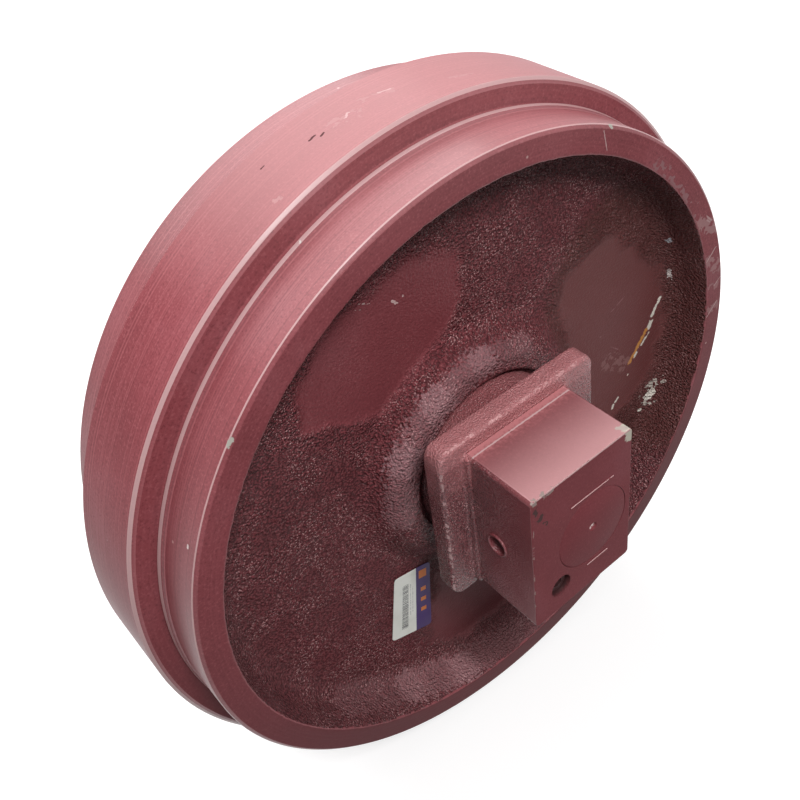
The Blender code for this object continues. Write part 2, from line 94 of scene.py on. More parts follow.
def spun(name, outline, around):
    """A turned piece. One point is extruded along its outline, a sector is spun, and the rest are copies."""
    bpy.ops.object.select_all(action="DESELECT")
    bpy.ops.mesh.primitive_plane_add(size=0.002)
    piece = bpy.context.object
    piece.name = name
    bpy.ops.object.mode_set(mode="EDIT")
    bpy.ops.mesh.merge(type="CENTER")
    spots = [Vector((0, -station, radius)) for radius, station in outline]
    bpy.ops.transform.translate(value=spots[0])
    for last, following in zip(spots, spots[1:]):
        bpy.ops.mesh.extrude_region_move(TRANSFORM_OT_translate={"value": following - last})
    bpy.ops.mesh.select_all(action="SELECT")
    axle = {"center": (0, 0, 0), "axis": (0, 1, 0)}
    sector = math.tau / SECTORS
    bpy.ops.mesh.spin(steps=around // SECTORS, angle=sector, **axle)
    bpy.ops.mesh.select_all(action="SELECT")
    bpy.ops.mesh.spin(steps=SECTORS - 1, dupli=True, angle=math.tau * (SECTORS - 1) / SECTORS, **axle)
    bpy.ops.mesh.select_all(action="SELECT")
    bpy.ops.mesh.remove_doubles(threshold=0.00001)
    bpy.ops.mesh.normals_make_consistent(inside=False)
    bpy.ops.object.mode_set(mode="OBJECT")
    bpy.ops.object.shade_smooth_by_angle(angle=math.radians(24))
    return piece


# Half of the wheel's outline, from the flange to the hub's bore, as points (radius, station).
flange_edge = [
    (FLANGE, 0.0298), (FLANGE - 0.0002, 0.0301), (0.2678, 0.0316), (0.2661, 0.0328), (0.2657, FLANGE_HALF),
]
root = [(0.2540, FLANGE_HALF), (0.2530, 0.0333), (0.2525, 0.0341), (0.2520, 0.0352), (0.2523, 0.0359)]
groove = [(0.2538, 0.0366), (0.2538, 0.0369), (0.2531, 0.0396), (0.2523, 0.0427), (0.2520, 0.0431)]
rim_edge = [(TREAD, 0.0745), (0.2518, 0.0749), (0.2514, 0.0753), (0.2497, 0.0768), (0.2493, RIM_HALF)]
ragged = [(0.2345, RIM_HALF), (0.2326, RIM_HALF), (0.2318, 0.0767), (0.2313, 0.0758), (0.2309, 0.0742)]
wall = straight(ragged[-1], (0.2272, WEB + WEB_FILLET), 5)
web_corner = arc((FILLET_CENTRE, WEB + WEB_FILLET), WEB_FILLET, -4, -90, 13)
web = straight(web_corner[-1], (HUB_FOOT, WEB - WEB_DROP), 34)
SLOPE_STEPS = 12
slope = [
    (
        HUB_FOOT - (HUB_FOOT - HUB_TOP) * step / SLOPE_STEPS,
        WEB - WEB_DROP + (HUB_FACE - WEB + WEB_DROP) * (0.5 - 0.5 * math.cos(math.pi * step / SLOPE_STEPS)),
    )
    for step in range(1, SLOPE_STEPS + 1)
]
lip = straight(slope[-1], (HUB_LIP + 0.0019, HUB_FACE), 4) + [
    (HUB_LIP + 0.0006, HUB_FACE - 0.0006), (HUB_LIP, HUB_FACE - 0.0019), (HUB_LIP, 0.0565),
    (0.0575, 0.0565), (0.0575, 0.0460), (0.0406, 0.0460), (0.0406, 0.0070), (0.0446, 0.0070),
]
near_half = (
    flange_edge + root + groove + straight(groove[-1], rim_edge[0], 4)
    + rim_edge[1:] + straight(rim_edge[-1], ragged[0], 3) + ragged[1:] + wall + web_corner[1:] + web
    + slope + lip
)
whole = near_half + [(radius, -station) for radius, station in reversed(near_half)]
wheel = spun("wheel_casting", whole + whole[:1], AROUND)

# Where the dishes were ground smooth, as corners (x, z) in millimetres. The far dish has two patches.
NEAR_PATCHES = [
    [
        (-98, 170), (-40, 186), (2, 172), (6, 140), (-6, 117), (-38, 92), (-60, 72), (-95, 82), (-138, 104),
        (-132, 140),
    ],
    [(150, 112), (104, 95), (92, 74), (104, 30), (120, -40), (150, -90), (200, -70), (216, -10), (206, 50)],
    [(-46, -118), (-62, -150), (-66, -190), (-30, -214), (20, -214), (16, -170), (-6, -128)],
]
FAR_PATCHES = [
    [(-150, 60), (-60, 120), (30, 118), (90, 150), (40, 196), (-60, 190), (-140, 140)],
    [(60, -110), (140, -90), (190, -40), (150, -140), (60, -190), (0, -170)],
]


def inside_by(x, z, corners):
    """How far a point lies inside a polygon, in millimetres; negative outside."""
    nearest, inside = 1e9, False
    for (ax, az), (bx, bz) in zip(corners, corners[1:] + corners[:1]):
        along = ((x - ax) * (bx - ax) + (z - az) * (bz - az)) / ((bx - ax) ** 2 + (bz - az) ** 2)
        along = min(1.0, max(0.0, along))
        nearest = min(nearest, math.hypot(x - ax - along * (bx - ax), z - az - along * (bz - az)))
        if (az > z) != (bz > z) and x < ax + (z - az) * (bx - ax) / (bz - az):
            inside = not inside
    return nearest if inside else -nearest


def ramp(value, low, high):
    """A smooth step from 0 at low to 1 at high."""
    share = min(1.0, max(0.0, (value - low) / (high - low)))
    return share * share * (3 - 2 * share)


# The dishes and the hub are uneven, and as_cast keeps how rough each place is: 1 as cast, 0 turned. Only the
# faces inside the rim are moved, outwards from the web and, past its fillet, from the wall. In millimetres.
CAST_INNER, CAST_OUTER, CAST_DEPTH = 66, 233, 38
PATCH_START, LIP_FADE = (100, 112), (67.5, 74)
FILLET_START, FILLET_STATIONS = 208, (44, 62)
TORN_RADII, TORN_STATIONS = (229.5, 232.5), (72, 76)
# Blender takes the seed of its noise vectors from the clock, so it is set here.
noise.seed_set(7)
cast = wheel.data.attributes.new("as_cast", "FLOAT", "POINT")
for vertex in wheel.data.vertices:
    spot = vertex.co / MM
    x, y, z = spot
    radius, station = math.hypot(x, z), abs(y)
    roughness = 0.0
    if CAST_INNER < radius < CAST_OUTER and station > CAST_DEPTH:
        warp = noise.noise_vector(spot / 22) * 7 + noise.noise_vector(spot / 7) * 2.5
        patches = NEAR_PATCHES if y < 0 else FAR_PATCHES
        warp *= 1.0 if y < 0 else 2.2
        depth = max(inside_by(x + warp.x, z + warp.z, corners) for corners in patches)
        blur = 4.0 + 14.0 * abs(noise.noise(spot / 45))
        ground = ramp(depth, -blur, blur) * ramp(radius, *PATCH_START) if station < 60 else 0.0
        roughness = 1.0 - 0.86 * ground
        edge = ramp(radius, *TORN_RADII) * ramp(station, *TORN_STATIONS)
        relief = noise.fractal(spot / 6, 1.0, 2.1, 2) * 0.22
        relief += noise.fractal(spot / 34, 0.9, 2.1, 2) * 0.45
        smooth = noise.noise(spot / 34) * 0.40 - 0.15
        move = relief * roughness * (1 - edge) + smooth * ground
        outward = Vector((0, -1 if y < 0 else 1, 0))
        if radius > FILLET_START:
            share = ramp(station, *FILLET_STATIONS)
            outward = (outward * (1 - share) + Vector((-x, 0, -z)).normalized() * share).normalized()
        if radius < 110:
            move *= ramp(radius, *LIP_FADE)
        vertex.co += outward * move * MM
        if edge > 0 and radius < 234:
            tear = noise.noise(spot / 4.5) * 0.55 + noise.noise(spot / 1.7) * 0.35
            vertex.co += Vector((x, 0, z)).normalized() * tear * edge * MM
    cast.data[vertex.index].value = roughness


def node(tree, kind, inputs=None, **settings):
    """A shader node. An input is a number, a colour, a vector or the output that feeds it."""
    made = tree.nodes.new("ShaderNode" + kind)
    for name, value in settings.items():
        setattr(made, name, value)
    for name, value in (inputs or {}).items():
        if isinstance(value, bpy.types.NodeSocket):
            tree.links.new(value, made.inputs[name])
        else:
            made.inputs[name].default_value = value
    return made


def maths(tree, operation, first, second=0.0, third=0.0):
    """The result of a sum; an operand is a number or an output."""
    made = node(tree, "Math", {0: first, 1: second, 2: third}, operation=operation)
    return made.outputs[0]


def eased(tree, value, low, high, start=0.0, end=1.0):
    """A smooth step between two values."""
    limits = {"Value": value, "From Min": low, "From Max": high, "To Min": start, "To Max": end}
    return node(tree, "MapRange", limits, interpolation_type="SMOOTHSTEP").outputs[0]


def blended(tree, share, first, second):
    """Two colours mixed: all first at share 0, all second at share 1."""
    return node(tree, "Mix", {0: share, 6: first, 7: second}, data_type="RGBA").outputs[2]


def here(tree):
    """The place on the object, in metres."""
    return node(tree, "TexCoord").outputs["Object"]


def station_and_radius(tree):
    """The place along the axle, the distance from it and the height over it."""
    x, y, z = node(tree, "SeparateXYZ", {0: here(tree)}).outputs
    squares = maths(tree, "MULTIPLY_ADD", x, x, maths(tree, "MULTIPLY", z, z))
    return y, maths(tree, "SQRT", squares), z


def group_of(name, takes, gives):
    """A node group with named inputs and outputs; returns its tree, its inputs and its output node."""
    tree = bpy.data.node_groups.new(name, "ShaderNodeTree")
    for title, kind, value in takes:
        made = tree.interface.new_socket(title, in_out="INPUT", socket_type="NodeSocket" + kind)
        made.default_value = value
    for title, kind in gives:
        tree.interface.new_socket(title, in_out="OUTPUT", socket_type="NodeSocket" + kind)
    return tree, tree.nodes.new("NodeGroupInput").outputs, tree.nodes.new("NodeGroupOutput").inputs


def placed(tree, group, inputs):
    """One use of a node group in a material; returns its outputs."""
    return node(tree, "Group", inputs, node_tree=group).outputs


# Turning lines: fine rings that the lathe tool leaves, along the value that is fed in.
LINES, takes, gives = group_of(
    "Turning lines",
    [("Across", "Float", 0.0), ("Pitch", "Float", 0.001), ("Wander", "Float", 0.3)],
    [("Height", "Float"), ("Tone", "Float")],
)
drift = node(LINES, "TexNoise", {"Vector": here(LINES), "Scale": 9.0, "Detail": 1.0}).outputs[0]
count = maths(LINES, "DIVIDE", takes["Across"], takes["Pitch"])
count = maths(LINES, "MULTIPLY_ADD", drift, takes["Wander"], count)
fine = node(LINES, "TexNoise", {"W": count, "Scale": 1.0, "Detail": 2.0}, noise_dimensions="1D").outputs[0]
broad = maths(LINES, "MULTIPLY", count, 0.11)
broad = node(LINES, "TexNoise", {"W": broad, "Scale": 1.0, "Detail": 1.0}, noise_dimensions="1D").outputs[0]
patchy = node(LINES, "TexNoise", {"Vector": here(LINES), "Scale": 14.0, "Detail": 2.0}).outputs[0]
shown = eased(LINES, patchy, 0.36, 0.62)
LINES.links.new(maths(LINES, "MULTIPLY", fine, shown), gives["Height"])
mixed = maths(LINES, "MULTIPLY_ADD", broad, 0.3, maths(LINES, "MULTIPLY", fine, 0.7))
LINES.links.new(mixed, gives["Tone"])

# Cast skin: the crumbs that moulding sand leaves under the paint, and the places on their tips that get a
# painted glint.
SKIN, takes, gives = group_of(
    "Cast skin", [("Grain", "Float", 0.0026)], [("Height", "Float"), ("Tip", "Float")]
)
size = maths(SKIN, "DIVIDE", 1.0, takes["Grain"])
swirl = node(SKIN, "TexNoise", {"Vector": here(SKIN), "Scale": 340.0, "Detail": 1.0}).outputs["Color"]
bent = node(SKIN, "VectorMath", {0: swirl, "Scale": 0.0011}, operation="SCALE").outputs[0]
bent = node(SKIN, "VectorMath", {0: here(SKIN), 1: bent}, operation="ADD").outputs[0]
crumb = node(
    SKIN, "TexVoronoi", {"Vector": bent, "Scale": size, "Smoothness": 0.35, "Randomness": 1.0},
    feature="SMOOTH_F1",
).outputs["Distance"]
crumb = maths(SKIN, "SUBTRACT", 1.0, crumb)
coarse = node(SKIN, "TexNoise", {"Vector": bent, "Scale": maths(SKIN, "MULTIPLY", size, 0.8), "Detail": 2.0})
height = maths(SKIN, "MULTIPLY_ADD", coarse.outputs[0], 0.8, maths(SKIN, "MULTIPLY", crumb, 0.7))
SKIN.links.new(height, gives["Height"])
tip = node(SKIN, "TexNoise", {"Vector": bent, "Scale": maths(SKIN, "MULTIPLY", size, 1.35), "Detail": 2.0})
patchy = node(SKIN, "TexNoise", {"Vector": here(SKIN), "Scale": 32.0, "Detail": 3.0}).outputs[0]
tip = maths(SKIN, "MULTIPLY", eased(SKIN, tip.outputs[0], 0.57, 0.67), eased(SKIN, patchy, 0.36, 0.62))
SKIN.links.new(tip, gives["Tip"])

# Sprayed paint: slow changes of tone, and the slight unevenness of a thick brushed or sprayed coat.
SPRAY, takes, gives = group_of(
    "Sprayed paint",
    [("Cloud", "Float", 12.0)],
    [("Tone", "Float"), ("Film", "Float"), ("Fleck", "Float")],
)
cloud = node(SPRAY, "TexNoise", {"Vector": here(SPRAY), "Scale": takes["Cloud"], "Detail": 5.0}).outputs[0]
film = node(SPRAY, "TexNoise", {"Vector": here(SPRAY), "Scale": 620.0, "Detail": 3.0}).outputs[0]
cells = node(SPRAY, "TexVoronoi", {"Vector": here(SPRAY), "Scale": 85.0, "Randomness": 1.0})
speck = eased(SPRAY, cells.outputs["Distance"], 0.05, 0.11, 1.0, 0.0)
pick = node(SPRAY, "SeparateColor", {0: cells.outputs["Color"]}).outputs[0]
chosen = maths(SPRAY, "GREATER_THAN", pick, 0.965)
SPRAY.links.new(cloud, gives["Tone"])
SPRAY.links.new(film, gives["Film"])
SPRAY.links.new(maths(SPRAY, "MULTIPLY", speck, chosen), gives["Fleck"])

# A mark between two points: a scratch, a run or, where both points are the same, a chip.
MARK, takes, gives = group_of(
    "Mark",
    [
        ("From", "Vector", (0, 0, 0)), ("To", "Vector", (0, 0, 0)), ("Width", "Float", 0.001),
        ("Ragged", "Float", 0.5), ("Gaps", "Float", 0.0),
    ],
    [("Mask", "Float")],
)
way = node(MARK, "VectorMath", {0: takes["To"], 1: takes["From"]}, operation="SUBTRACT").outputs[0]
off = node(MARK, "VectorMath", {0: here(MARK), 1: takes["From"]}, operation="SUBTRACT").outputs[0]
length = node(MARK, "VectorMath", {0: way, 1: way}, operation="DOT_PRODUCT").outputs["Value"]
run = node(MARK, "VectorMath", {0: off, 1: way}, operation="DOT_PRODUCT").outputs["Value"]
run = maths(MARK, "DIVIDE", run, maths(MARK, "MAXIMUM", length, 1e-9))
run = node(MARK, "Clamp", {"Value": run}).outputs[0]
foot = node(MARK, "VectorMath", {0: way, "Scale": run}, operation="SCALE").outputs[0]
apart = node(MARK, "VectorMath", {0: off, 1: foot}, operation="DISTANCE").outputs["Value"]
rough_edge = node(MARK, "TexNoise", {"Vector": here(MARK), "Scale": 420.0, "Detail": 3.0}).outputs[0]
wide = maths(MARK, "MULTIPLY_ADD", maths(MARK, "SUBTRACT", rough_edge, 0.5), takes["Ragged"], 0.5)
wide = maths(MARK, "MULTIPLY", maths(MARK, "MULTIPLY", wide, 2.0), takes["Width"])
mask = maths(MARK, "SUBTRACT", 1.0, maths(MARK, "DIVIDE", apart, maths(MARK, "MAXIMUM", wide, 1e-5)))
mask = eased(MARK, mask, 0.0, 0.25)
breaks = node(MARK, "TexNoise", {"Vector": here(MARK), "Scale": 160.0, "Detail": 2.0}).outputs[0]
kept = maths(MARK, "GREATER_THAN", breaks, takes["Gaps"])
MARK.links.new(maths(MARK, "MULTIPLY", mask, kept), gives["Mask"])

OXIDE = (0.285, 0.069, 0.081, 1)
OXIDE_DEEP = (0.228, 0.053, 0.062, 1)
OXIDE_PALE = (0.380, 0.120, 0.132, 1)
OXIDE_MAUVE = (0.33, 0.135, 0.152, 1)
OXIDE_SHADOW = (0.13, 0.032, 0.038, 1)
GRIT = (0.62, 0.42, 0.40, 1)


def paint(name):
    """A new paint material; returns it, its tree and its shader."""
    made = bpy.data.materials.new(name)
    made.use_nodes = True
    return made, made.node_tree, made.node_tree.nodes["Principled BSDF"]


def sprayed(tree, spray):
    """The paint's own colour: slow clouds of tone with a fine speckle over them."""
    colour = blended(tree, eased(tree, spray["Tone"], 0.3, 0.7), OXIDE_DEEP, OXIDE)
    colour = blended(tree, eased(tree, spray["Film"], 0.52, 0.72, 0.0, 0.55), colour, OXIDE_PALE)
    colour = blended(tree, eased(tree, spray["Tone"], 0.52, 0.78, 0.0, 0.5), colour, OXIDE_MAUVE)
    return blended(tree, eased(tree, spray["Film"], 0.46, 0.28, 0.0, 0.50), colour, OXIDE_SHADOW)


def marked(tree, colour, marks):
    """Lays marks over a colour. Each is from, to, width (in millimetres), ragged, gaps and its colour, whose
    fourth number is how much the mark covers."""
    total = None
    for start, end, width, ragged_by, gaps, tint in marks:
        inputs = {
            "From": Vector(start) * MM, "To": Vector(end) * MM, "Width": width * MM, "Ragged": ragged_by,
            "Gaps": gaps,
        }
        mask = placed(tree, MARK, inputs)[0]
        if tint[3] < 1:
            mask = maths(tree, "MULTIPLY", mask, tint[3])
        colour = blended(tree, mask, colour, tint)
        total = mask if total is None else maths(tree, "MAXIMUM", total, mask)
    return colour, total


LINE_SHADOW = (0.15, 0.038, 0.045, 1)
# Thin, worn paint with a painted highlight, for the arrises.
WORN_THIN_AND_HIGHLIGHT = (0.76, 0.52, 0.52, 1)
# A pale dusting with a painted sheen for the top, painted shade for the bottom, and the heights over which
# each comes in.
DUST_AND_SHEEN = (0.50, 0.27, 0.275, 1)
PAINTED_SHADE = (0.13, 0.034, 0.039, 1)
DUST_AND_SHEEN_HEIGHTS = (0.200, 0.268)
PAINTED_SHADE_HEIGHTS = (0.10, -0.18)


def turned_finish(name, gloss, marks, dust_and_sheen, shade, seams, wear_and_highlight=0.0, on_face=False, pitch=0.0015):
    """Paint over a turned surface. Seams is how much the turning lines show. The share for the arrises is
    thin, worn paint with a painted highlight there, the share for the top is a pale dusting with a painted
    sheen, and shade is painted shade towards the bottom."""
    made, tree, shader = paint(name)
    station, radius, height = station_and_radius(tree)
    across = radius if on_face else station
    lines = placed(tree, LINES, {"Across": across, "Pitch": pitch, "Wander": 0.35})
    spray = placed(tree, SPRAY, {"Cloud": 11.0})
    colour = sprayed(tree, spray)
    colour = blended(tree, eased(tree, lines["Tone"], 0.52, 0.68, 0.0, seams), colour, OXIDE_PALE)
    colour = blended(tree, eased(tree, lines["Tone"], 0.48, 0.32, 0.0, seams), colour, LINE_SHADOW)
    # Thin, worn paint on the arrises, with a painted highlight over it.
    colour = blended(tree, wear_and_highlight, colour, WORN_THIN_AND_HIGHLIGHT)
    # A pale dusting with a painted sheen towards the top, and painted shade towards the bottom, both set by
    # height.
    colour = blended(tree, eased(tree, height, *DUST_AND_SHEEN_HEIGHTS, 0.0, dust_and_sheen), colour, DUST_AND_SHEEN)
    colour = blended(tree, eased(tree, height, *PAINTED_SHADE_HEIGHTS, 0.0, shade), colour, PAINTED_SHADE)
    colour = blended(tree, maths(tree, "MULTIPLY", spray["Fleck"], 0.7), colour, GRIT)
    colour, total = marked(tree, colour, marks)
    tree.links.new(colour, shader.inputs["Base Color"])
    rough = eased(tree, spray["Tone"], 0.25, 0.75, 0.29, 0.39)
    tree.links.new(maths(tree, "MULTIPLY_ADD", total, 0.15, rough), shader.inputs["Roughness"])
    coat = maths(tree, "MULTIPLY_ADD", spray["Film"], 0.35, maths(tree, "MULTIPLY", lines["Height"], 0.8))
    coat = maths(tree, "SUBTRACT", coat, maths(tree, "MULTIPLY", total, 1.2))
    bump = node(tree, "Bump", {"Height": coat, "Strength": 0.6, "Distance": 0.00018})
    tree.links.new(bump.outputs[0], shader.inputs["Normal"])
    shader.inputs["Specular IOR Level"].default_value = gloss
    return made


WHITE_MARK = (0.75, 0.66, 0.64, 1)
PALE_MARK = (0.52, 0.33, 0.33, 1)
SCUFF = (0.42, 0.215, 0.22, 1)
RIM_SCUFF = (0.31, 0.15, 0.16, 1)
RIM_HAZE = (0.48, 0.30, 0.30)
DARK_PIT = (0.09, 0.03, 0.033, 1)
BARE_IRON = (0.42, 0.40, 0.35, 1)
RIM_CHIPS = [
    ((111.4, -76.6, 226.0), (112.4, -76.6, 225.4), 2.4, 0.8, 0.0, BARE_IRON),
    ((-193.6, -76.6, 161.3), (-195.6, -76.4, 158.8), 2.2, 0.8, 0.0, BARE_IRON),
]
flange_marks = [
    # Scuffs and thin scratches from other iron.
    ((-46, 2, 266.0), (-32, -2, 268.0), 5.5, 1.0, 0.53, SCUFF),
    ((-40, -1, 267.0), (-35, 3, 267.7), 1.1, 1.0, 0.47, PALE_MARK),
    ((-25, 8, 268.8), (3, 1, 270), 3.4, 1.0, 0.53, SCUFF),
    ((-9, 6, 269.9), (-1, 4, 270), 0.8, 1.0, 0.47, PALE_MARK),
    ((30, -9, 268.3), (62, -13, 262.8), 1.8, 1.0, 0.54, SCUFF),
    ((-103, 33, 249.6), (-88, 34, 255.3), 0.6, 0.9, 0.48, WHITE_MARK),
    ((-60, 37, 263.2), (-40, 39, 267.0), 0.6, 0.9, 0.50, PALE_MARK),
    ((-107, -19, 247.9), (-105, -20, 248.8), 3.4, 1.0, 0.53, SCUFF),
    # Small dents with dark bottoms.
    ((-65, 2.2, 262.1), (-60.5, 3, 263.1), 0.9, 0.9, 0.35, DARK_PIT),
    ((-58.5, -1, 263.6), (-56, 0, 264.2), 0.9, 0.9, 0.35, DARK_PIT),
    ((-95, 11.8, 252.7), (-93, 12, 253.5), 0.8, 0.9, 0.35, DARK_PIT),
    ((-56.3, 0, 264.1), (-60, 3, 263.3), 0.9, 1.0, 0.52, PALE_MARK),
]
tread_marks = RIM_CHIPS + [
    ((-232.6, -66.7, 98.2), (-233, -66.7, 97.0), 1.1, 0.6, 0.0, WHITE_MARK),
    ((-154, 46.6, 221.7), (-150, 50, 224.5), 1.2, 1.0, 0.5, WHITE_MARK),
]
face_marks = [
    # Scratches and rubbed places, nearly all towards the front.
    ((218.7, -77, 105.3), (236.8, -77, 87.1), 0.9, 0.9, 0.47, PALE_MARK),
    ((222, -77, 99), (240, -77, 82), 0.7, 0.9, 0.5, PALE_MARK),
    ((103.3, -77, 225.2), (106.4, -77, 210.1), 0.5, 0.9, 0.42, PALE_MARK),
    ((160, -77, 172), (206, -77, 112), 8.0, 1.0, 0.55, RIM_SCUFF),
    ((213, -77, 101.7), (233, -77, 86), 6.0, 1.0, 0.42, (*RIM_HAZE, 0.55)),
    ((224, -77, 58.5), (242, -77, 45), 6.0, 1.0, 0.45, (*RIM_HAZE, 0.50)),
    ((226, -77, 3.5), (244.6, -77, 3.4), 5.0, 1.0, 0.45, (*RIM_HAZE, 0.45)),
    ((225.8, -77, 29.6), (241.8, -77, 25.8), 3.5, 1.0, 0.46, (*RIM_HAZE, 0.40)),
    ((226.6, -77, 57.1), (241.2, -77, 71.1), 0.8, 0.9, 0.45, PALE_MARK),
    ((232.1, -77, -3.2), (245.9, -77, 9.1), 0.7, 0.9, 0.42, PALE_MARK),
    ((232.1, -77, 22), (246.9, -77, 32), 0.6, 0.9, 0.45, PALE_MARK),
    RIM_CHIPS[0],
]
edge_marks = RIM_CHIPS + [((-105, -37.5, 229.6), (-107, -38.6, 228.7), 1.4, 0.8, 0.0, WHITE_MARK)]
tread_paint = turned_finish("painted_tread", gloss=0.24, dust_and_sheen=0.24, shade=0.0, seams=0.48, marks=tread_marks)
flange_paint = turned_finish(
    "painted_flange", gloss=0.04, dust_and_sheen=0.55, shade=0.42, seams=0.48, marks=flange_marks
)
face_paint = turned_finish(
    "painted_rim_face", gloss=0.05, dust_and_sheen=0.16, shade=0.80, seams=0.14, on_face=True, marks=face_marks
)
edge_paint = turned_finish(
    "painted_edge", gloss=0.35, dust_and_sheen=0.20, shade=0.30, seams=0.30, wear_and_highlight=0.60, pitch=0.0011, marks=edge_marks
)

PIT_SHADOW = (0.060, 0.018, 0.021, 1)
CORNER_GRIME = (0.110, 0.058, 0.060, 1)
GROUND_SMOOTH = (0.17, 0.040, 0.047, 1)
# A painted sheen for the outer end of the sliding face.
PAINTED_SHEEN_BRIGHT = (0.80, 0.44, 0.45, 1)
# A painted glint for the crumbs' tips.
PAINTED_TIP_GLINT = (0.72, 0.40, 0.40, 1)
CORNER_RADII = (0.190, 0.222)
BLOCK_REACH = (-0.104, -0.163)


def cast_finish(name, grain, relief, cloud, gloss, tip_glint, marks, sheen=0.0):
    """Paint over a cast surface, whose as_cast value tells how rough each place is. Grain and relief are the
    sand crumbs' size and depth, the share for the crumbs' tips is how bright a painted glint on them is, and
    sheen is how bright the painted sheen at the outer end of a sliding face is."""
    made, tree, shader = paint(name)
    skin = placed(tree, SKIN, {"Grain": grain})
    spray = placed(tree, SPRAY, {"Cloud": cloud})
    as_cast = node(tree, "Attribute", attribute_name="as_cast").outputs["Fac"]
    station, radius, _ = station_and_radius(tree)
    colour = sprayed(tree, spray)
    pits = maths(tree, "MULTIPLY", eased(tree, skin["Height"], 1.0, 0.6), as_cast)
    colour = blended(tree, maths(tree, "MULTIPLY", pits, 0.75), colour, PIT_SHADOW)
    corner = maths(tree, "MULTIPLY", eased(tree, radius, *CORNER_RADII), as_cast)
    colour = blended(tree, maths(tree, "MULTIPLY", corner, 0.25), colour, CORNER_GRIME)
    colour = blended(tree, eased(tree, as_cast, 0.7, 0.0, 0.0, 0.42), colour, GROUND_SMOOTH)
    # A painted sheen on the sliding top, growing towards the block's outer end.
    if sheen:
        front = eased(tree, station, *BLOCK_REACH, 0.08, sheen)
        colour = blended(tree, front, colour, PAINTED_SHEEN_BRIGHT)
    # Painted glints on the crumbs' tips.
    tips = maths(tree, "MULTIPLY", skin["Tip"], as_cast)
    colour = blended(tree, maths(tree, "MULTIPLY", tips, tip_glint), colour, PAINTED_TIP_GLINT)
    colour = blended(tree, maths(tree, "MULTIPLY", spray["Fleck"], 0.5), colour, GRIT)
    colour, total = marked(tree, colour, marks)
    tree.links.new(colour, shader.inputs["Base Color"])
    rough = eased(tree, spray["Tone"], 0.25, 0.75, 0.32, 0.42)
    tree.links.new(maths(tree, "MULTIPLY_ADD", as_cast, -0.12, rough), shader.inputs["Roughness"])
    grains = maths(tree, "MULTIPLY", skin["Height"], as_cast)
    height = maths(tree, "MULTIPLY_ADD", spray["Film"], 0.05, grains)
    bump = node(tree, "Bump", {"Height": height, "Strength": 1.0, "Distance": relief})
    tree.links.new(bump.outputs[0], shader.inputs["Normal"])
    shader.inputs["Specular IOR Level"].default_value = gloss
    return made


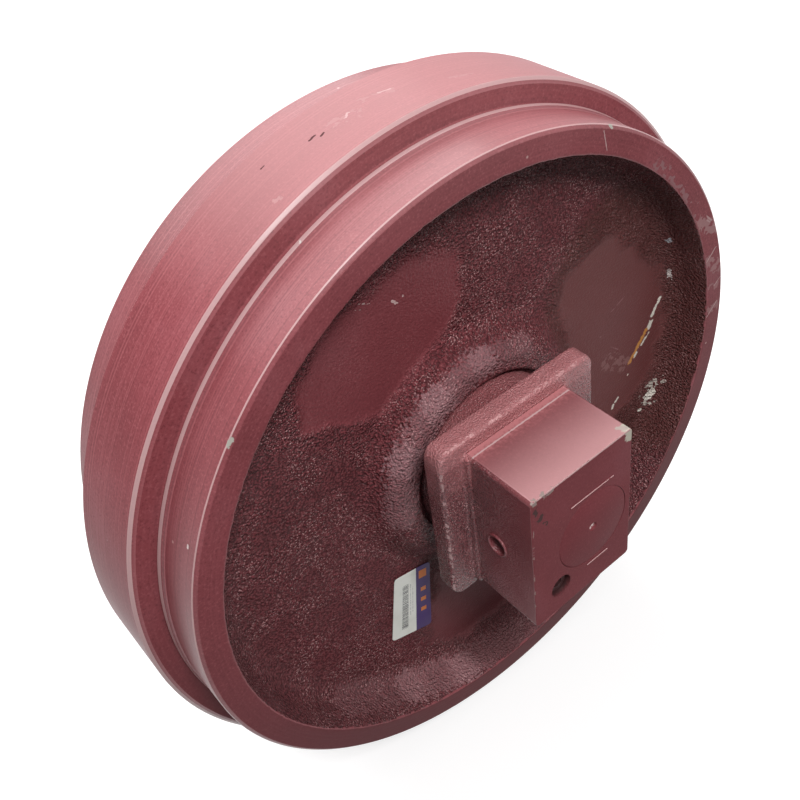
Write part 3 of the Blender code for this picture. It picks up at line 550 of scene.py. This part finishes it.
PALE_DRIP, RUST_DRIP = (0.80, 0.74, 0.66, 1), (0.60, 0.26, 0.07, 1)
CURL = (0.60, 0.42, 0.41, 1)
PALE_SCRATCH, DARK_SCRATCH = (0.42, 0.20, 0.21, 1), (0.11, 0.03, 0.034, 1)
DULL_SCRATCH = (0.30, 0.15, 0.15, 0.7)
# Pale tints for the painted sheen on the dish's lower wall and round the hub.
PAINTED_WALL_SHEEN, PAINTED_HUB_SHEEN = (0.55, 0.30, 0.32), (0.70, 0.42, 0.45)
dish_marks = [
    # Broad darker areas on the right and below the sticker, and a painted sheen on the lower wall and round
    # the hub.
    ((165, -43, 62), (178, -43, -52), 96.0, 0.25, 0.0, (0.100, 0.036, 0.028, 0.55)),
    ((-158, -54, -162), (-100, -57, -203), 15.0, 1.0, 0.25, (*PAINTED_WALL_SHEEN, 0.12)),
    ((-100, -57, -203), (-50, -64, -220), 16.0, 1.0, 0.25, (*PAINTED_WALL_SHEEN, 0.26)),
    ((-50, -64, -220), (40, -70, -224), 16.0, 1.0, 0.25, (*PAINTED_WALL_SHEEN, 0.24)),
    ((-34, -43, -140), (0, -43, -190), 64.0, 0.3, 0.0, (0.085, 0.036, 0.037, 0.5)),
    ((-84, -61, -6), (-74, -61, 42), 15.0, 1.0, 0.30, (*PAINTED_HUB_SHEEN, 0.20)),
    ((-74, -61, 42), (-42, -61, 73), 15.0, 1.0, 0.30, (*PAINTED_HUB_SHEEN, 0.20)),
    ((-42, -61, 73), (0, -61, 85), 14.0, 1.0, 0.30, (*PAINTED_HUB_SHEEN, 0.18)),
    ((0, -61, 85), (40, -61, 76), 12.0, 1.0, 0.30, (*PAINTED_HUB_SHEEN, 0.12)),
    # Curls of old paint and scratches on the upper ground patch.
    ((-79, -43, 172), (-71, -43, 168), 0.8, 0.7, 0.40, CURL),
    ((-82, -43, 169), (-78, -43, 167), 0.6, 0.7, 0.40, CURL),
    ((-54, -43, 160), (-49, -43, 154), 1.1, 0.9, 0.46, CURL),
    ((-45, -43, 159), (-45, -43, 158.5), 0.8, 0.7, 0.0, CURL),
    ((-98, -43, 171), (-95, -43, 170), 0.7, 0.7, 0.40, CURL),
    ((-23, -43, 111), (-65, -43, 92), 0.7, 0.7, 0.47, PALE_SCRATCH),
    ((-41, -43, 101), (-72, -43, 89), 0.6, 0.7, 0.45, DARK_SCRATCH),
    ((-59, -43, 93), (-79, -43, 92), 0.7, 0.7, 0.45, PALE_SCRATCH),
    ((-27, -43, 112), (-26, -43, 111), 1.0, 0.7, 0.0, CURL),
    ((-41, -43, 89), (-48, -43, 82), 0.9, 0.8, 0.42, CURL),
    # Drips and splashes of pale and rusty paint beside the block, and scratches there.
    ((212.1, -43, 13.1), (202.8, -43, -1.7), 2.2, 0.9, 0.36, PALE_DRIP),
    ((201.8, -43, -8), (199.5, -43, -11), 3.4, 0.9, 0.0, PALE_DRIP),
    ((196, -43, -13), (176.4, -43, -37.3), 2.4, 0.9, 0.30, RUST_DRIP),
    ((199, -43, -18), (182, -43, -34), 1.6, 0.9, 0.42, PALE_DRIP),
    ((216.7, -48, 40), (218.2, -48, 28), 2.2, 1.0, 0.47, (0.66, 0.58, 0.56, 1)),
    ((197.7, -46, -90), (203, -48, -86), 3.4, 1.0, 0.30, PALE_DRIP),
    ((199, -47, -89), (208, -50, -78), 9.0, 1.0, 0.585, (0.80, 0.74, 0.66, 0.6)),
    ((156.2, -43, -77.2), (157, -43, -74), 1.6, 0.9, 0.30, PALE_DRIP),
    ((160, -43, -72), (163, -43, -69), 1.4, 0.9, 0.40, PALE_DRIP),
    ((189.8, -45, -101), (190.4, -45, -100.4), 1.8, 0.9, 0.20, PALE_DRIP),
    ((205, -75, -99), (206, -75, -98), 2.0, 0.9, 0.30, PALE_DRIP),
    ((174.6, -43, -50.2), (175, -43, -49.6), 0.9, 0.9, 0.20, PALE_DRIP),
    ((209.5, -50.4, 76.1), (211, -50.4, 74), 2.8, 1.0, 0.48, (0.50, 0.50, 0.54, 1)),
    ((150, -43, 30), (168, -43, 38), 0.7, 0.9, 0.45, DULL_SCRATCH),
    ((138, -43, 8), (162, -43, -14), 0.7, 0.9, 0.47, DULL_SCRATCH),
    ((150, -43, -20), (170, -43, -34), 9.0, 1.0, 0.50, (0.40, 0.22, 0.21, 0.35)),
    # The pale line over the sticker.
    ((-98.6, -43, -84.1), (-53, -43, -77.2), 0.9, 0.8, 0.42, (0.50, 0.34, 0.34, 1)),
]
cast_paint = cast_finish(
    "painted_casting", 0.0017, 0.0026, cloud=9.0, gloss=0.10, tip_glint=0.8, marks=dish_marks
)
for finish in (tread_paint, face_paint, cast_paint, edge_paint, flange_paint):
    wheel.data.materials.append(finish)
# Each face takes its paint by its place: the dish and the hub, the arrises and the groove's edge (worn pale
# and with a painted highlight), the flange, the turned side faces. What is left is the treads.
RIM_FACE, AS_CAST, EDGE, FLANGE_TOP = 1, 2, 3, 4
for face in wheel.data.polygons:
    x, y, z = face.center / MM
    radius, station = math.hypot(x, z), abs(y)
    if radius < 231.6 and station > 8:
        face.material_index = AS_CAST
    elif (radius > 251.4 and 74.6 < station < 75.3) or (radius > 267.8 and 29.9 < station < 32.99):
        face.material_index = EDGE
    elif 36.8 < station < 39.6 and radius < 254:
        face.material_index = EDGE
    elif radius > 267:
        face.material_index = FLANGE_TOP
    elif station > 76.9 or 32.9 < station < 40:
        face.material_index = RIM_FACE
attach(wheel, "wheel")
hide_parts("wheel_shell")

# Shaft. A ground steel axle, stepped down at each end and held in the brackets, with centre holes left
# from turning. Its ends are painted over with the brackets.
end = arc((0.0316, 0.1625), 0.0004, 0, 90, 3)
half = [(0.0, 0.1563), (0.0035, 0.1629)] + end[::-1] + [
    (0.0316, 0.150), (0.0320, 0.149), (0.0320, 0.0783), (0.0280, 0.0783), (0.0280, 0.0737), (0.0320, 0.0737),
    (0.0320, 0.0600), (0.0350, 0.0600),
]
shaft = spun("idler_shaft", half + [(radius, -station) for radius, station in reversed(half)], around=96)
bpy.context.view_layer.objects.active = shaft
bpy.ops.object.shade_smooth_by_angle(angle=math.radians(35))
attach(shaft, "axle_group")
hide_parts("shaft")

# Brackets. Each is one casting: a boss around the seal, a collar plate and a block that slides in the track
# frame. The block's sides are flat, and its top has a painted sheen that grows towards its outer end. Collar
# and boss are as cast. All sizes of the near one are in millimetres.
COLLAR_LOW, COLLAR_HIGH = (-77, -102.5, -65), (66, -86.5, 78)
FOOT_LOW, FOOT_HIGH = (-58.0, -108.0, -60.0), (39.0, -100, 66.4)
BLOCK_LOW, BLOCK_HIGH = (-56, -163, -58), (37, -96, 67)
BOSS, SHAFT_BORE, SHOULDER_BORE = 64.5, 32.3, 35.3
PIN_HOLE, PIN_STATION = 7.3, -129
PLUG_HOLE, OIL_WAY, PLUG_X, PLUG_Z = 8.8, 3.0, -31.5, -34.5


def block_of(name, low, high, corner, corner_steps, rim):
    """A cast block between two corners, its long edges rounded by corner and its outer rim by rim."""
    bpy.ops.object.select_all(action="DESELECT")
    low, high = Vector(low) * MM, Vector(high) * MM
    bpy.ops.mesh.primitive_cube_add(size=1, location=(low + high) / 2, scale=high - low)
    made = bpy.context.object
    made.name = name
    bpy.ops.object.transform_apply(location=True, rotation=True, scale=True)
    for direction, width, steps in (("along", corner, corner_steps), ("rim", rim, 3)):
        bpy.ops.object.mode_set(mode="EDIT")
        bpy.ops.mesh.select_mode(type="EDGE")
        bpy.ops.mesh.select_all(action="DESELECT")
        bpy.ops.object.mode_set(mode="OBJECT")
        for edge in made.data.edges:
            a, b = (made.data.vertices[index].co for index in edge.vertices)
            lengthwise = abs(a.y - b.y) > 0.9 * (high.y - low.y)
            outer = abs(a.y - low.y) < 1e-5 and abs(b.y - low.y) < 1e-5
            edge.select = lengthwise if direction == "along" else outer
        bpy.ops.object.mode_set(mode="EDIT")
        bpy.ops.mesh.bevel(offset=width * MM, segments=steps, affect="EDGES")
        bpy.ops.object.mode_set(mode="OBJECT")
    return made


def combined(piece, other, operation):
    """Joins other to piece, or cuts it from piece, and removes other."""
    bpy.ops.object.select_all(action="DESELECT")
    bpy.context.view_layer.objects.active = piece
    piece.select_set(True)
    step = piece.modifiers.new(operation, "BOOLEAN")
    step.operation = operation
    step.solver = "EXACT"
    step.object = other
    bpy.ops.object.modifier_apply(modifier=step.name)
    bpy.data.objects.remove(other, do_unlink=True)


def bar(radius, start, finish, steps):
    """A round bar between two points in millimetres, used as a boss or a drill."""
    start, finish = Vector(start) * MM, Vector(finish) * MM
    bpy.ops.object.select_all(action="DESELECT")
    bpy.ops.mesh.primitive_cylinder_add(
        vertices=steps, radius=radius * MM, depth=(finish - start).length, location=(start + finish) / 2,
        rotation=(finish - start).to_track_quat("Z", "Y").to_euler(),
    )
    bpy.ops.object.transform_apply(location=True, rotation=True, scale=True)
    return bpy.context.object


bracket = block_of("bracket_casting_near", COLLAR_LOW, COLLAR_HIGH, corner=10, corner_steps=6, rim=3.2)
foot = block_of("foot", FOOT_LOW, FOOT_HIGH, corner=4, corner_steps=4, rim=1.4)
for part in (foot, bar(BOSS, (0, -94, 0), (0, -58.6, 0), 160)):
    combined(bracket, part, "UNION")
step = bracket.modifiers.new("fuse", "REMESH")
step.mode = "VOXEL"
step.voxel_size = 0.0011
bpy.ops.object.modifier_apply(modifier=step.name)
step = bracket.modifiers.new("round", "SMOOTH")
step.factor = 0.5
step.iterations = 2
bpy.ops.object.modifier_apply(modifier=step.name)
bpy.ops.object.mode_set(mode="EDIT")
bpy.ops.mesh.select_all(action="SELECT")
bpy.ops.mesh.normals_make_consistent(inside=False)
bpy.ops.object.mode_set(mode="OBJECT")
normals = [vertex.normal.copy() for vertex in bracket.data.vertices]
for vertex, normal in zip(bracket.data.vertices, normals):
    spot = vertex.co / MM
    lump = noise.fractal(spot / 5, 1.0, 2.1, 2) * 0.18 + noise.noise(spot / 17) * 0.30
    vertex.co += normal * lump * MM
# The block is joined after the casting was made uneven, so that its faces stay flat.
block = block_of("block", BLOCK_LOW, BLOCK_HIGH, corner=3.2, corner_steps=4, rim=0.7)
combined(bracket, block, "UNION")
# The burred lip round the lock pin's hole, and two raised lines of the casting on the end face.
bpy.ops.object.select_all(action="DESELECT")
bpy.ops.mesh.primitive_torus_add(
    location=(-0.0563, PIN_STATION * MM, 0), rotation=(0, math.pi / 2, 0), major_radius=0.0082,
    minor_radius=0.0011, major_segments=48, minor_segments=8,
)
combined(bracket, bpy.context.object, "UNION")
for (left, right), level in (((-21.5, 19.5), 35.2), ((-6.2, 14.5), -35.1)):
    low, high = (left, -163.6, level - 0.7), (right, -160, level + 0.7)
    line = block_of("raised_line", low, high, corner=0.35, corner_steps=2, rim=0.3)
    combined(bracket, line, "UNION")
drills = [
    bar(SHAFT_BORE, (0, -45, 0), (0, -180, 0), 128),
    bar(SHOULDER_BORE, (0, -45, 0), (0, -60.3, 0), 128),
    bar(PIN_HOLE, (-100, PIN_STATION, 0), (100, PIN_STATION, 0), 40),
    bar(PLUG_HOLE, (PLUG_X, -141.5, PLUG_Z), (PLUG_X, -180, PLUG_Z), 40),
    bar(OIL_WAY, (PLUG_X, -62, PLUG_Z), (PLUG_X, -150, PLUG_Z), 24),
]
for drill in drills:
    combined(bracket, drill, "DIFFERENCE")
# The ring-shaped room for the floating seal.
cavity = spun("cavity", [
    (0.0575, 0.040), (0.0575, 0.070), (0.0430, 0.070), (0.0430, 0.0507), (0.0300, 0.0507), (0.0300, 0.040),
    (0.0575, 0.040),
], around=128)
combined(bracket, cavity, "DIFFERENCE")
bpy.ops.object.shade_smooth_by_angle(angle=math.radians(40))

# How rough each place is: the block's top and end are nearly smooth, its sides less so.
bracket_cast = bracket.data.attributes.new("as_cast", "FLOAT", "POINT")
for vertex in bracket.data.vertices:
    x, y, z = vertex.co / MM
    roughness = 1.0
    if y < -100 and (66.6 < z < 67.5 or y < -162):
        roughness = 0.04
    elif y < -110:
        roughness = 0.35
    bracket_cast.data[vertex.index].value = roughness

# Worn pale paint with a painted highlight for the edges, and a dull tint for chips.
WORN_EDGE_AND_HIGHLIGHT, DULL_CHIP = (0.55, 0.34, 0.34, 1), (0.34, 0.22, 0.21, 1)
BRACKET_MARKS = [
    # Painted highlights on the collar's edges, and a painted sheen on the tops of the collar and the boss.
    ((-72, -101.5, 77.5), (60, -101.5, 77.5), 1.5, 1.0, 0.50, (0.54, 0.33, 0.33, 1)),
    ((-74, -97, 80), (64, -97, 80), 20.0, 0.3, 0.0, (0.74, 0.34, 0.35, 0.34)),
    ((-50, -72, 64), (50, -72, 64), 46.0, 0.3, 0.0, (0.72, 0.25, 0.26, 0.24)),
    ((-75.5, -101.5, 72), (-76.5, -101.5, -58), 1.2, 1.0, 0.52, (0.50, 0.30, 0.30, 1)),
    # The block's knocked corner; its raised lines, worn pale with a painted highlight; painted shade in its
    # holes; and a painted highlight in the shaft's centre hole.
    ((36, -161.5, 66), (37, -162, 61), 6.5, 0.7, 0.0, (0.60, 0.55, 0.46, 1)),
    ((30, -157, 67), (33, -160, 67), 2.2, 1.0, 0.50, (0.56, 0.46, 0.42, 1)),
    ((-21, -163.6, 35.9), (19, -163.6, 35.9), 0.5, 0.6, 0.35, WORN_EDGE_AND_HIGHLIGHT),
    ((-6, -163.6, -34.4), (14, -163.6, -34.4), 0.5, 0.6, 0.40, WORN_EDGE_AND_HIGHLIGHT),
    ((-31.5, -155, -34.5), (-31.5, -146, -34.5), 13.0, 0.1, 0.0, (0.05, 0.020, 0.021, 1)),
    ((-49.5, -129, 0), (-40, -129, 0), 9.0, 0.1, 0.0, (0.06, 0.022, 0.024, 1)),
    ((0, -156, 0), (0, -161.5, 0), 2.9, 0.4, 0.0, (0.80, 0.68, 0.66, 1)),
    # A painted highlight on the block's back edge, its front edge worn pale with a painted highlight, and its
    # chips.
    ((-56, -108.6, 66.9), (36, -108.6, 66.9), 0.7, 0.8, 0.0, (0.60, 0.40, 0.40, 1)),
    ((-55, -163, 66.4), (36, -163, 66.4), 0.7, 0.8, 0.0, WORN_EDGE_AND_HIGHLIGHT),
    ((-53, -162, 65), (-38, -162.6, 66), 2.6, 1.0, 0.50, (0.36, 0.27, 0.25, 1)),
    ((-54, -162, 63), (-55.5, -162.5, 10), 0.8, 1.0, 0.49, DULL_CHIP),
    ((-55.5, -162.5, 5), (-55.5, -162.5, -40), 0.6, 1.0, 0.53, DULL_CHIP),
    ((-52, -163, 58), (-44, -163, 36), 3.2, 1.0, 0.53, (0.085, 0.042, 0.042, 1)),
]
# The sides, the sliding top and the end face have one paint, at three glosses.
alike = {"cloud": 16.0, "marks": BRACKET_MARKS}
bracket_paint = cast_finish("painted_bracket", 0.0012, 0.0013, gloss=0.36, tip_glint=0.9, **alike)
slide_paint = cast_finish("painted_slide_face", 0.0012, 0.0010, gloss=0.30, tip_glint=0.5, sheen=0.60, **alike)
end_paint = cast_finish("painted_end_face", 0.0012, 0.0010, gloss=0.02, tip_glint=0.5, **alike)
bracket.data.materials.clear()
for finish in (bracket_paint, slide_paint, end_paint):
    bracket.data.materials.append(finish)
BRACKET_SIDE, SLIDE_FACE, END_FACE = 0, 1, 2
for face in bracket.data.polygons:
    face.material_index = BRACKET_SIDE
    reach = min(bracket.data.vertices[index].co.y for index in face.vertices) / MM
    if reach < -110 and max(abs(part) for part in face.normal) > 0.9999:
        face.use_smooth = False
    if face.normal.z > 0.95 and face.center.z > 66.6 * MM and reach < -110:
        face.material_index = SLIDE_FACE
    elif face.normal.y < -0.3 and face.center.y < -161 * MM:
        face.material_index = END_FACE
shaft.data.materials.append(end_paint)

# The far bracket is cast from a mirror-image pattern.
far_bracket = bracket.copy()
far_bracket.data = bracket.data.copy()
far_bracket.name = "bracket_casting_far"
bpy.context.scene.collection.objects.link(far_bracket)
far_bracket.data.transform(Matrix.Scale(-1, 4, (0, 1, 0)))
far_bracket.data.flip_normals()
for made, label in ((bracket, "near"), (far_bracket, "far")):
    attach(made, "axle_group")
    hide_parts(f"bracket_{label}")

# Lock pins and oil plugs. Steel pins driven through bracket and shaft, and plugs with hexagon sockets in the
# oil ways. All were in place when the brackets were sprayed, so they take the brackets' paint, with painted
# shade in their recesses.
for name in ("lock_pin_near", "lock_pin_far", "oil_plug_near", "oil_plug_far"):
    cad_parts[name].data.materials.clear()
    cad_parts[name].data.materials.append(bracket_paint)

# Bushes and seals inside the hub. Bronze bushes carry the wheel, and lapped steel rings in rubber rings
# keep the oil in. None of them was painted.
BRONZE, BRONZE_DULL = (0.55, 0.36, 0.16, 1), (0.38, 0.23, 0.10, 1)
STEEL, STEEL_DULL = (0.52, 0.51, 0.50, 1), (0.36, 0.36, 0.37, 1)
RUBBER, RUBBER_DULL = (0.020, 0.020, 0.021, 1), (0.034, 0.033, 0.032, 1)
INNER = (
    ("bush_bronze", BRONZE, BRONZE_DULL, 1.0, 0.30, ("bush",)),
    ("lapped_steel", STEEL, STEEL_DULL, 1.0, 0.22, ("seal_ring_wheel", "seal_ring_bracket")),
    (
        "oiled_rubber", RUBBER, RUBBER_DULL, 0.0, 0.42,
        ("toric_ring_wheel", "toric_ring_bracket", "shaft_oring"),
    ),
)
for name, bright, dull, metallic, gloss, rings in INNER:
    made, tree, shader = paint(name)
    spray = placed(tree, SPRAY, {"Cloud": 40.0})
    tree.links.new(blended(tree, spray["Tone"], bright, dull), shader.inputs["Base Color"])
    tree.links.new(eased(tree, spray["Tone"], 0.3, 0.7, gloss, gloss + 0.12), shader.inputs["Roughness"])
    shader.inputs["Metallic"].default_value = metallic
    station = station_and_radius(tree)[0]
    lines = placed(tree, LINES, {"Across": station, "Pitch": 0.0004, "Wander": 0.2})
    height = maths(tree, "MULTIPLY_ADD", spray["Film"], 0.3, lines["Height"])
    bump = node(tree, "Bump", {"Height": height, "Strength": 0.4, "Distance": 0.00005})
    tree.links.new(bump.outputs[0], shader.inputs["Normal"])
    for label in (f"{ring}_{side}" for ring in rings for side in ("near", "far")):
        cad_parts[label].data.materials.clear()
        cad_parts[label].data.materials.append(made)

# Sticker. A small printed vinyl label, pressed by hand on the web of the near dish, so it lies a little
# askew. Its print is plain bars and blocks. Its corners and its lift off the web are in millimetres.
CORNERS = [(-89.2, -88.4), (-55.0, -95.8), (-62.9, -167.3), (-101.9, -152.9)]
CORNER_CUT, NARROW, LIFT, VINYL = 0.045, 0.55, 0.75, 0.00022
FILLET_FOOT = 0.2085
bpy.ops.object.select_all(action="DESELECT")
bpy.ops.mesh.primitive_grid_add(x_subdivisions=28, y_subdivisions=52, size=1)
sticker = bpy.context.object
sticker.name = "dish_sticker"
sheet_uv = sticker.data.uv_layers[0].data
for loop in sticker.data.loops:
    spot = sticker.data.vertices[loop.vertex_index].co
    sheet_uv[loop.index].uv = (spot.x + 0.5, spot.y + 0.5)
top_left, top_right, low_right, low_left = (Vector(corner) for corner in CORNERS)
for vertex in sticker.data.vertices:
    u, v = vertex.co.x + 0.5, vertex.co.y + 0.5
    near_u, near_v = min(u, 1 - u) * NARROW, min(v, 1 - v)
    if near_u < CORNER_CUT and near_v < CORNER_CUT:
        away = Vector((CORNER_CUT - near_u, CORNER_CUT - near_v))
        if away.length > CORNER_CUT:
            away = away.normalized() * CORNER_CUT
            u = (CORNER_CUT - away.x) / NARROW if u < 0.5 else 1 - (CORNER_CUT - away.x) / NARROW
            v = CORNER_CUT - away.y if v < 0.5 else 1 - (CORNER_CUT - away.y)
    place = low_left.lerp(low_right, u).lerp(top_left.lerp(top_right, u), v)
    down_web = max(0.0, FILLET_FOOT - place.length * MM) / (FILLET_FOOT - HUB_FOOT)
    station = (WEB - WEB_DROP * down_web) / MM
    ripple = noise.noise(Vector((place.x, place.y, 0)) / 14) * 0.12
    curl = 0.6 * ramp(math.hypot(1 - u, 1 - v), 0.30, 0.0)
    vertex.co = Vector((place.x, -(station + LIFT + ripple + curl), place.y)) * MM
step = sticker.modifiers.new("vinyl", "SOLIDIFY")
step.thickness = VINYL
step.offset = 1
bpy.ops.object.modifier_apply(modifier=step.name)
bpy.ops.object.mode_set(mode="EDIT")
bpy.ops.mesh.select_all(action="SELECT")
bpy.ops.mesh.normals_make_consistent(inside=False)
bpy.ops.object.mode_set(mode="OBJECT")
bpy.ops.object.shade_smooth_by_angle(angle=math.radians(40))

vinyl, tree, shader = paint("printed_vinyl")
on_sheet = node(tree, "UVMap", uv_map=sticker.data.uv_layers[0].name).outputs[0]
across, up, _ = node(tree, "SeparateXYZ", {0: on_sheet}).outputs


def between(value, low, high):
    """1 where a value lies between two limits."""
    over = maths(tree, "GREATER_THAN", value, low)
    return maths(tree, "MULTIPLY", over, maths(tree, "LESS_THAN", value, high))


def field(left, right, bottom, top):
    """1 on a rectangle of the sheet, whose sides run from 0 to 1."""
    return maths(tree, "MULTIPLY", between(across, left, right), between(up, bottom, top))


def striped(mask, stripes, share):
    """The part of a field that lies on its level stripes, which are of uneven width."""
    place = maths(tree, "MULTIPLY", up, stripes)
    wave = node(tree, "TexNoise", {"W": place, "Scale": 1.0, "Detail": 0.0}, noise_dimensions="1D")
    return maths(tree, "MULTIPLY", mask, maths(tree, "GREATER_THAN", wave.outputs[0], share))


SHEET_WHITE, SHEET_SOILED = (0.95, 0.96, 0.90, 1), (0.84, 0.85, 0.78, 1)
BAR_INK, SMALL_INK = (0.06, 0.06, 0.07, 1), (0.25, 0.25, 0.27, 1)
BAND_INK, BLOCK_INK = (0.055, 0.022, 0.135, 1), (0.75, 0.22, 0.05, 1)
soiled = node(tree, "TexNoise", {"Vector": here(tree), "Scale": 60.0, "Detail": 4.0}).outputs[0]
colour = blended(tree, eased(tree, soiled, 0.4, 0.75), SHEET_WHITE, SHEET_SOILED)
colour = blended(tree, striped(field(0.24, 0.40, 0.12, 0.82), 130.0, 0.50), colour, BAR_INK)
small = striped(field(0.45, 0.47, 0.30, 0.80), 60.0, 0.42)
small = maths(tree, "MAXIMUM", small, striped(field(0.51, 0.53, 0.34, 0.74), 60.0, 0.45))
colour = blended(tree, maths(tree, "MULTIPLY", small, 0.55), colour, SMALL_INK)
colour = blended(tree, maths(tree, "GREATER_THAN", across, 0.61), colour, BAND_INK)
blocks = field(0.69, 0.90, 0.81, 0.93)
for low in (0.60, 0.44, 0.28):
    blocks = maths(tree, "MAXIMUM", blocks, field(0.74, 0.88, low, low + 0.06))
colour = blended(tree, blocks, colour, BLOCK_INK)
tree.links.new(colour, shader.inputs["Base Color"])
tree.links.new(eased(tree, soiled, 0.3, 0.7, 0.28, 0.42), shader.inputs["Roughness"])
shader.inputs["Specular IOR Level"].default_value = 0.2
bump = node(tree, "Bump", {"Height": soiled, "Strength": 0.3, "Distance": 0.0002})
tree.links.new(bump.outputs[0], shader.inputs["Normal"])
sticker.data.materials.append(vinyl)
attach(sticker, "wheel")

# Floor and light. A pale floor, a broad soft light overhead and behind, a small one over the near end, and
# a pale room. The camera and reflections see floor and room white, and the rest gets little light from them.
FLOOR_LIT, FLOOR_SEEN = (0.06, 0.058, 0.058, 1), (0.50, 0.495, 0.495, 1)
FLOOR_GLOW = 0.62
ROOM_LOW, ROOM_HIGH = 0.05, 0.62
bpy.ops.object.select_all(action="DESELECT")
bpy.ops.mesh.primitive_plane_add(size=12, location=(0, 0, cad_box[0][2]))
floor = bpy.context.object
floor.name = "floor"
floor_finish, tree, shader = paint("pale_floor")
shader.inputs["Roughness"].default_value = 0.9
shader.inputs["Specular IOR Level"].default_value = 0.1


def seen_directly(tree):
    """1 for rays from the camera, from gloss and through glass, which see a white room."""
    path = node(tree, "LightPath").outputs
    glossy = maths(tree, "MAXIMUM", path["Is Glossy Ray"], path["Is Transmission Ray"])
    return maths(tree, "MAXIMUM", path["Is Camera Ray"], glossy)


seen = seen_directly(tree)
tree.links.new(blended(tree, seen, FLOOR_LIT, FLOOR_SEEN), shader.inputs["Base Color"])
glow = node(tree, "Emission", {"Color": (1, 1, 1, 1), "Strength": maths(tree, "MULTIPLY", seen, FLOOR_GLOW)})
both = node(tree, "AddShader", {0: shader.outputs[0], 1: glow.outputs[0]})
tree.links.new(both.outputs[0], tree.nodes["Material Output"].inputs["Surface"])
floor.data.materials.append(floor_finish)


def softbox(name, place, aim, size, power):
    """A rectangular lamp; its size in metres and its power in watts."""
    made = bpy.data.objects.new(name, bpy.data.lights.new(name, "AREA"))
    bpy.context.scene.collection.objects.link(made)
    made.data.shape = "RECTANGLE"
    made.data.size, made.data.size_y = size
    made.data.energy = power
    made.location = place
    made.rotation_euler = (Vector(aim) - Vector(place)).to_track_quat("-Z", "Y").to_euler()


softbox("sky_box", place=(0.0, 1.45, 1.75), aim=(0, 0, 0.1), size=(3.2, 1.8), power=73)
softbox("key_box", place=(-0.35, -1.15, 1.60), aim=(0, 0, 0), size=(0.5, 0.5), power=26)
world = bpy.data.worlds.new("pale_room")
bpy.context.scene.world = world
world.use_nodes = True
tree = world.node_tree
height = node(tree, "SeparateXYZ", {0: node(tree, "TexCoord").outputs["Generated"]}).outputs[2]
sky = eased(tree, height, 0.0, 1.0, ROOM_LOW, ROOM_HIGH)
strength = node(tree, "Mix", {0: seen_directly(tree), 2: sky, 3: 1.0}).outputs[0]
tree.links.new(strength, tree.nodes["Background"].inputs["Strength"])
tree.nodes["Background"].inputs["Color"].default_value = (1, 1, 1, 1)
bpy.context.scene.view_settings.view_transform = "Standard"
